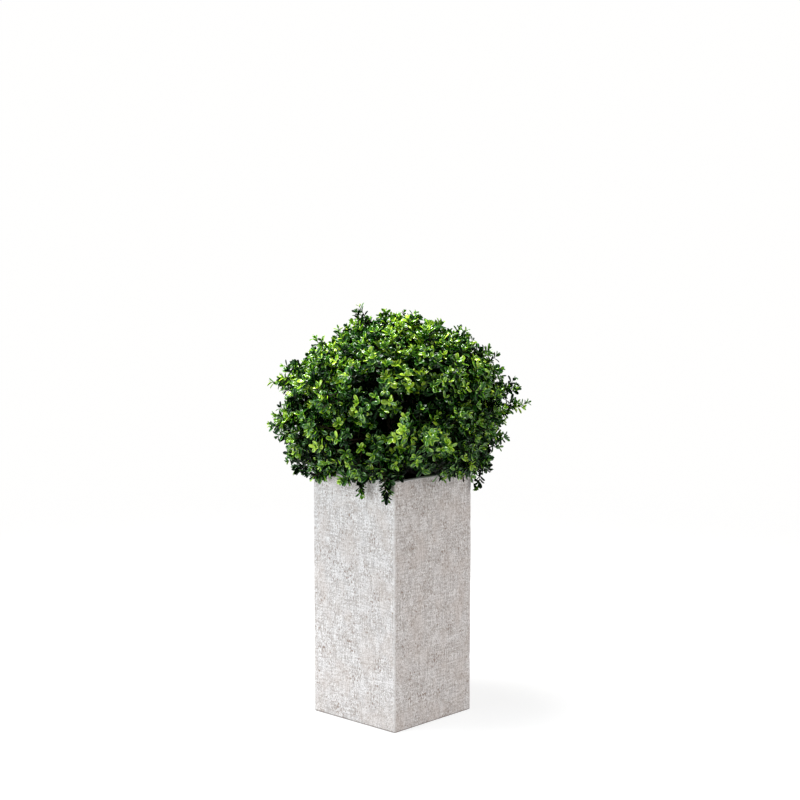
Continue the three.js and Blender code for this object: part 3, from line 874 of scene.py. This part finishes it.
twig_materials = [
    plain_material("twig_wood", (56, 47, 35), 0.75, 0.15),
    plain_material("twig_green", (56, 76, 30), 0.55, 0.15),
]
for number, mass in enumerate(masses):
    onward = unit(mass["line"][-1] - mass["line"][-2])
    start, heart = mass["entry"], mass["heart"]
    bend = start + onward * np.linalg.norm(heart - start) / 2
    steps, *sizes = TUBES["mass stem"]
    parts = [(*swept(even_curve(start, bend, heart, steps)[None], *sizes), 0)]
    woody = shoots["layer"] == "main"
    for kind, some, shade in (("wood", woody, 0), ("shoot", ~woody, 1)):
        steps, *sizes = TUBES[kind]
        chosen = some & (shoots["owner"] == number)
        lines = [shoots[key][chosen] for key in ("foot", "bend", "tip")]
        parts.append((*swept(many_curves(*lines, steps), *sizes), shade))
    points, faces, shades = joined(parts)
    twigs = add_piece("twigs_" + mass["name"], points, faces, twig_materials, shades)
    stand_for(twigs, "bark", "foliage_" + mass["name"])

# %% [markdown]
# ## Stem and boughs
# Old box wood is pale grey-brown and finely cracked along its length, and the stem widens into
# the soil over its roots. A displace modifier could rough up a smooth tube, but the cracks
# have to run along each limb, so the relief is worked out here from the place round and along
# the limb, and kept in the mesh.

# %% Bark finish
BARK = {
    "dark": (66, 54, 42), "pale": (142, 126, 102), "from": 0.36, "to": 0.62,
    "roughness": 0.85, "scale": (420, 92.4), "detail": 5, "bump": (0.6, 0.0006),
}

finish = Finish("box_bark", BARK["roughness"])
cracks = finish.noise(finish.chart(), BARK["scale"], BARK["detail"])
bark = finish.dress(finish.two_tone(cracks, BARK), cracks, BARK["bump"])

# %% A limb with bark relief
STEM = {"foot": 0.026, "radius": 0.015, "tip": 0.011, "flare": 0.013, "sides": 48}
ROOTS = {"count": 5, "swell": 0.16, "high": 0.02}
LIMB = {"foot": 0.0065, "tip": 0.0042, "sides": 18}
RELIEF = {"stem": 0.0011, "bough": 0.0011 / 3, "size": 0.006, "stretch": 4.5, "fine": 0.5}


def tube_chart(walls, ends, around, along):
    """Each face corner's place on a flat chart. around holds the places of a ring's points and
    of the whole way round, and along the places of the rings."""
    row, column = np.divmod(walls, len(around) - 1)
    column = np.where(column < column[:, :1], len(around) - 1, column)
    chart = np.stack([around[column], along[row]], -1).reshape(-1, 2)
    return np.concatenate([chart, np.zeros((ends.size, 2))])


def add_limb(name, solid, line, radius, sides, relief, roots=0):
    """A closed limb with bark relief along a line, in place of a solid."""
    steps = len(line)
    points, (walls, caps) = swept(line[None], 1.0, 1.0, sides)
    ring = points.reshape(steps, sides, 3) - line[:, None]
    along = np.linspace(0, travelled(line)[-1], steps)
    angle = np.linspace(0, 2 * np.pi, sides, endpoint=False)
    girth = radius[:, None] * np.ones(sides)
    height = np.broadcast_to(along[:, None] / RELIEF["stretch"], girth.shape)
    place = np.stack([girth * np.cos(angle), girth * np.sin(angle), height], -1).reshape(-1, 3)
    ridge = drift(place, RELIEF["size"]) + RELIEF["fine"] * drift(place, RELIEF["size"] / 2, 1)
    swell = ROOTS["swell"] * np.exp(-along[:, None] / ROOTS["high"])
    girth = girth * (1 + np.sin(roots * angle) * swell) + relief * ridge.reshape(girth.shape)
    points = (line[:, None] + ring * girth[..., None]).reshape(-1, 3)
    chart = tube_chart(walls, caps, np.linspace(0, 2 * np.pi, sides + 1) * radius.mean(), along)
    stand_for(add_piece(name, points, [walls, caps], [bark], chart=chart), "bark", solid)


print("bark relief:", RELIEF["stem"], "m on the stem,", round(RELIEF["bough"], 5), "m on a bough")

# %% The stem and the boughs
share = np.linspace(0, 1, len(stem_line))
flare = np.exp(-share * (stem_top[2] - soil_top) / STEM["flare"])
stem_radius = STEM["radius"] + (STEM["tip"] - STEM["radius"]) * share
stem_radius += (STEM["foot"] - STEM["radius"]) * flare
sides, relief = STEM["sides"], RELIEF["stem"]
add_limb("stem_bark", "stem", stem_line, stem_radius, sides, relief, ROOTS["count"])

taper = np.linspace(LIMB["foot"], LIMB["tip"], BOUGH_POINTS)
sides, relief = LIMB["sides"], RELIEF["bough"]
for mass in masses:
    name = mass["name"]
    add_limb("bough_bark_" + name, "bough_" + name, mass["line"], taper, sides, relief)

# %% [markdown]
# ## Planter
# The planter is cast in a pale stone-like mix. Its walls are as thick as a thumb, and every
# edge is rounded off. A cube with a bevel would give the shape but not the slight waviness of
# a cast wall. So rings of points round a rounded square are stacked from the underside, up the
# wall, over the rim and down inside, and each point is moved a little by a smooth random
# number. The rings also give each face its place on a flat chart, which the finish follows.

# %% Rounded square rings
SIDE_POINTS, CORNER_POINTS = 62, 8


def square_ring(half, radius):
    """Points round a square with rounded corners, seen from above, against the clock."""
    flat = half - radius
    points = []
    for quarter in range(4):
        turn = math.pi * (1 + quarter / 2)
        outward = np.array([math.cos(turn), math.sin(turn)])
        onward = np.array([-outward[1], outward[0]])
        step = np.linspace(-flat, flat, SIDE_POINTS, endpoint=False)[:, None]
        points.append(half * outward + step * onward)
        angle = turn + np.linspace(0, math.pi / 2, CORNER_POINTS, endpoint=False)
        arc = np.stack([np.cos(angle), np.sin(angle)], -1)
        points.append(flat * (outward + onward) + radius * arc)
    return np.concatenate(points)


def stacked(profile):
    """A closed body of rings: profile gives each ring's half side, corner radius and height."""
    rings = [np.insert(square_ring(*sizes), 2, height, axis=1) for *sizes, height in profile]
    walls, ends = tube_faces(len(rings), len(rings[0]))
    widest = square_ring(*max(profile)[:2])
    around = travelled(np.concatenate([widest, widest[:1]]))
    along = travelled(np.array(profile)[:, ::2])
    return np.concatenate(rings), [walls, ends], tube_chart(walls, ends, around, along)


print("a ring has", 4 * (SIDE_POINTS + CORNER_POINTS), "points")

# %% [markdown]
# The planter's skin looks wiped, like linen. Noises of different sizes on the chart make it:
# clouds, strokes up and across and a fine grain change the tone, and thin curled lines, brown
# flecks and pale specks crowd in patches. Some patches are tinted warm. A painted highlight
# pales the corners and the rim's edge, a dark line of painted shadow marks the foot and a
# bright painted highlight the rim. A scanned picture of stone would be quicker, but it would
# blur up close and show its seams.

# %% Tones and marks of the stone
STONE = {
    "pale": (236, 232, 231), "dark": (176, 169, 166), "line": (150, 134, 123),
    # edge is a painted highlight along the corners and the rim's edge
    "fleck": (150, 134, 124), "speck": (240, 237, 236), "edge": (220, 215, 212),
    # foot is a painted shadow along the foot, and rim a painted highlight along the rim's top
    "tint": (202, 189, 181), "foot": (112, 102, 96), "rim": (250, 248, 247),
    "from": 0.41, "to": 0.58, "roughness": 0.78, "bump": (0.45, 0.0006),
}
STONE_TONES = {  # scale along and up the wall, detail, share of the tone
    "clouds": ((14, 9), 3, 0.02),
    "patches": ((60, 34), 2, 0.11),
    "upright strokes": ((190, 19), 1, 0.23),
    "level strokes": ((30, 210), 1, 0.20),
    "grain": ((320, 240), 2, 0.44),
}
LINES = {"scale": (130, 90), "from": 0.065, "to": 0.0, "share": 0.62}
LINE_PATCHES = {"scale": (26, 26), "from": 0.32, "to": 0.56}
FLECKS = {"scale": (285, 118), "from": 0.605, "to": 0.695, "patches": (22, 22), "patchy": 0.45}
SPECKS = {"scale": (290, 200), "from": 0.62, "to": 0.70, "patches": (30, 30), "patchy": 0.15}
TINT = {"scale": (17, 11), "from": 0.47, "to": 0.66, "share": 0.36}
# painted highlight: paler towards the corners and the rim's edge
EDGE_PAINTED_HIGHLIGHT = {"from": 0.007, "to": 0.002, "share": 0.6}
# painted shadow: a dark line along the foot
FOOT_PAINTED_SHADOW = {"from": 0.0046, "to": 0.0016}
# painted highlight: a bright line along the rim's top
RIM_PAINTED_HIGHLIGHT = {"from": 0.0040, "to": 0.0012}
print(len(STONE_TONES), "noises make the stone's tone")

# %% Planter finish


def spots(finish, chart, sizes):
    """A mask of small spots that crowd in some patches and thin out in others."""
    dots = finish.noise(chart, sizes["scale"], 1)
    patches = finish.noise(chart, sizes["patches"], 2)
    crowd = finish.math("MULTIPLY", finish.math("SUBTRACT", patches, 0.5), sizes["patchy"])
    return finish.fade(finish.math("ADD", dots, crowd), sizes)


def curled_lines(finish, chart):
    """A mask of thin curled lines, which lie where a noise passes its middle value."""
    away = finish.math("SUBTRACT", finish.noise(chart, LINES["scale"], 1), 0.5)
    lines = finish.fade(finish.math("ABSOLUTE", away), LINES)
    patches = finish.fade(finish.noise(chart, LINE_PATCHES["scale"], 2), LINE_PATCHES)
    return finish.math("MULTIPLY", lines, patches)


def near_edges(finish):
    """Shares that grow close to the corners and rim, close to the foot and close to the rim: where
    a painted highlight, a painted shadow and another painted highlight go.
    """
    parts = finish.add("SeparateXYZ", {"Vector": finish.place()}).outputs
    corner = finish.math("MINIMUM", *(finish.math("ABSOLUTE", parts[axis]) for axis in "XY"))
    below = finish.math("SUBTRACT", rim, parts["Z"])
    room = finish.math("MINIMUM", finish.math("SUBTRACT", half_side, corner), below)
    places = (room, EDGE_PAINTED_HIGHLIGHT), (parts["Z"], FOOT_PAINTED_SHADOW), (below, RIM_PAINTED_HIGHLIGHT)
    return [finish.fade(place, sizes) for place, sizes in places]


finish = Finish("wiped_stone", STONE["roughness"])
chart = finish.chart()
tone = 0.0
for scale, detail, weight in STONE_TONES.values():
    weighed = finish.math("MULTIPLY", finish.noise(chart, scale, detail), weight)
    tone = finish.math("ADD", tone, weighed)
flecks = spots(finish, chart, FLECKS)
tint = finish.fade(finish.noise(chart, TINT["scale"]), TINT)
layers = [spots(finish, chart, SPECKS), curled_lines(finish, chart), flecks, tint]
layers += near_edges(finish)
colour = finish.two_tone(tone, STONE)
# edge and rim lay a painted highlight and foot a painted shadow over the stone's own marks
for name, share in zip(("speck", "line", "fleck", "tint", "edge", "foot", "rim"), layers):
    colour = finish.mix(share, colour, chart_colour(*STONE[name]))  # each over those before
stone = finish.dress(colour, finish.math("SUBTRACT", tone, flecks), STONE["bump"])

# %% Planter body
WALL = {"thick": 0.016, "floor": 0.016, "edge": 0.0045, "bevel": 0.003, "inner_edge": 0.005}
WALL_RINGS, BEVEL_RINGS = 140, 5
UNDERSIDE, INSIDE_FLOOR = (0.2, 0.5, 0.8, 0.95), (0.6, 0.2)  # shares of the half side
BELOW_RIM = (0.010, 0.020, 0.045)  # rings inside the mouth
CAST = {"broad": (0.0007, 0.11), "fine": (0.00025, 0.012), "worn": (0.0009, 0.015)}

thick, base, edge, bevel, inner_edge = WALL.values()
inner = half_side - thick


def rounding(half, corner, height, start):
    """Rings that round off an edge by a quarter turn; start is in degrees."""
    angles = np.radians(np.linspace(start, start + 90, BEVEL_RINGS))
    return [(half + bevel * math.cos(a), corner, height + bevel * math.sin(a)) for a in angles]


heights = np.linspace(bevel, rim - bevel, WALL_RINGS + 2)[1:-1]
profile = [(share * half_side, edge * share, 0.0) for share in UNDERSIDE]
profile += rounding(half_side - bevel, edge, bevel, -90)
profile += [(half_side, edge, z) for z in heights]
profile += rounding(half_side - bevel, edge, rim - bevel, 0)
profile += [(half_side - thick / 2, inner_edge, rim)]
profile += rounding(inner + bevel, inner_edge, rim - bevel, 90)
profile += [(inner, inner_edge, z) for z in (*(rim - below for below in BELOW_RIM), base)]
profile += [(share * inner, inner_edge * share, base) for share in INSIDE_FLOOR]
points, faces, chart = stacked(profile)
flat = np.abs(points[:, :2])
outward = np.where(flat >= flat.max(1, keepdims=True) - edge, np.sign(points[:, :2]), 0)
at_corner = (outward != 0).all(1)
broad, fine, worn = (
    deep * drift(points, size, seed) for seed, (deep, size) in enumerate(CAST.values())
)
wave = broad + fine - at_corner * np.maximum(worn, 0)
outer = (flat.max(1) > half_side - bevel / 2) & (points[:, 2] > 2 * bevel)
points[:, :2] += unit(outward + 1e-9) * (wave * outer)[:, None]
planter = add_piece("planter_shell", points, faces, [stone], chart=chart)
stand_for(planter, "planter", "planter")

# %% [markdown]
# ## Soil
# Dark potting soil fills the planter to just below the rim. It is hardly seen, but it closes
# the view between wall and foliage. A flat disc would look like a lid, so stacked rings make
# it, with crumbs from two sizes of smooth random numbers.

# %% Soil
SOIL = {
    "dark": (38, 28, 20), "pale": (92, 72, 54), "from": 0.35, "to": 0.68,
    "roughness": 0.95, "scale": (300, 300), "detail": 5, "bump": (0.8, 0.002),
}
SOIL_GAP, SOIL_SIDE, SOIL_RINGS, SOIL_MIDDLE_SHARE = 0.0006, 0.01, 40, 0.03
SOIL_MIDDLE = (0.02, 0.001)  # the smallest ring underneath: half side and corner radius
CRUMBS = {"lumps": (0.003, 0.035, 3), "grains": (0.0016, 0.007, 4)}  # height, size and seed

finish = Finish("potting_soil", SOIL["roughness"])
crumbs = finish.noise(finish.place(), SOIL["scale"], SOIL["detail"])
earth = finish.dress(finish.two_tone(crumbs, SOIL), crumbs, SOIL["bump"])
half, low = inner - SOIL_GAP, base + SOIL_GAP
profile = [SOIL_MIDDLE + (low,), (half, inner_edge, low), (half, inner_edge, soil_top - SOIL_SIDE)]
for share in np.linspace(1, SOIL_MIDDLE_SHARE, SOIL_RINGS):
    profile.append((share * half, inner_edge * share, soil_top))
points, faces, chart = stacked(profile)
relief = sum(high * drift(points, size, seed) for high, size, seed in CRUMBS.values())
points[:, 2] += relief * (points[:, 2] > soil_top - SOIL_SIDE / 2)
soil = add_piece("soil_bed", points, faces, [earth], chart=chart)
stand_for(soil, "soil", "soil")

# %% [markdown]
# ## Floor
# The floor is only there for the light. It isn't part of the object, so it is marked as stage.
# A plain one would show a grey shade and an edge, so this one glows and thins out far away.

# %% Floor
FLOOR = {"rings": (4.2, 3.4, 2.4, 1.6, 1.0, 0.5), "points": 48}
FLOOR_FADE = {"from": 0.9, "to": 4.0, "kind": "SMOOTHSTEP"}  # metres from the planter
FLOOR_SKIN = {
    "Base Color": (0.28, 0.28, 0.28, 1), "Specular IOR Level": 0.1, "Roughness": 0.8,
    "Emission Color": (1, 1, 1, 1), "Emission Strength": 0.80,
}

finish = Finish("studio_floor", FLOOR_SKIN["Roughness"])
finish.feed(finish.surface, FLOOR_SKIN)
away = finish.add("VectorMath", {0: finish.place()})
away.operation = "LENGTH"
far = finish.fade(away.outputs["Value"], FLOOR_FADE)
nothing = finish.add("BsdfTransparent", {}).outputs["BSDF"]
both = finish.add("MixShader", {0: far, 1: finish.surface.outputs["BSDF"], 2: nothing})
finish.feed(finish.nodes["Material Output"], {"Surface": both.outputs["Shader"]})

azimuths = np.linspace(0, 360, FLOOR["points"], endpoint=False)
points = np.concatenate([radius * towards(azimuths, 0.0) for radius in FLOOR["rings"]])
walls, ends = tube_faces(len(FLOOR["rings"]), FLOOR["points"])
floor = add_piece("floor", points, [walls, ends[1:]], [finish.material])
floor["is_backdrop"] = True

# %% Sizes and finish
low, high = (list(corner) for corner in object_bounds())
print("the dressed bush reaches from", np.round(low, 3), "to", np.round(high, 3), "metres")
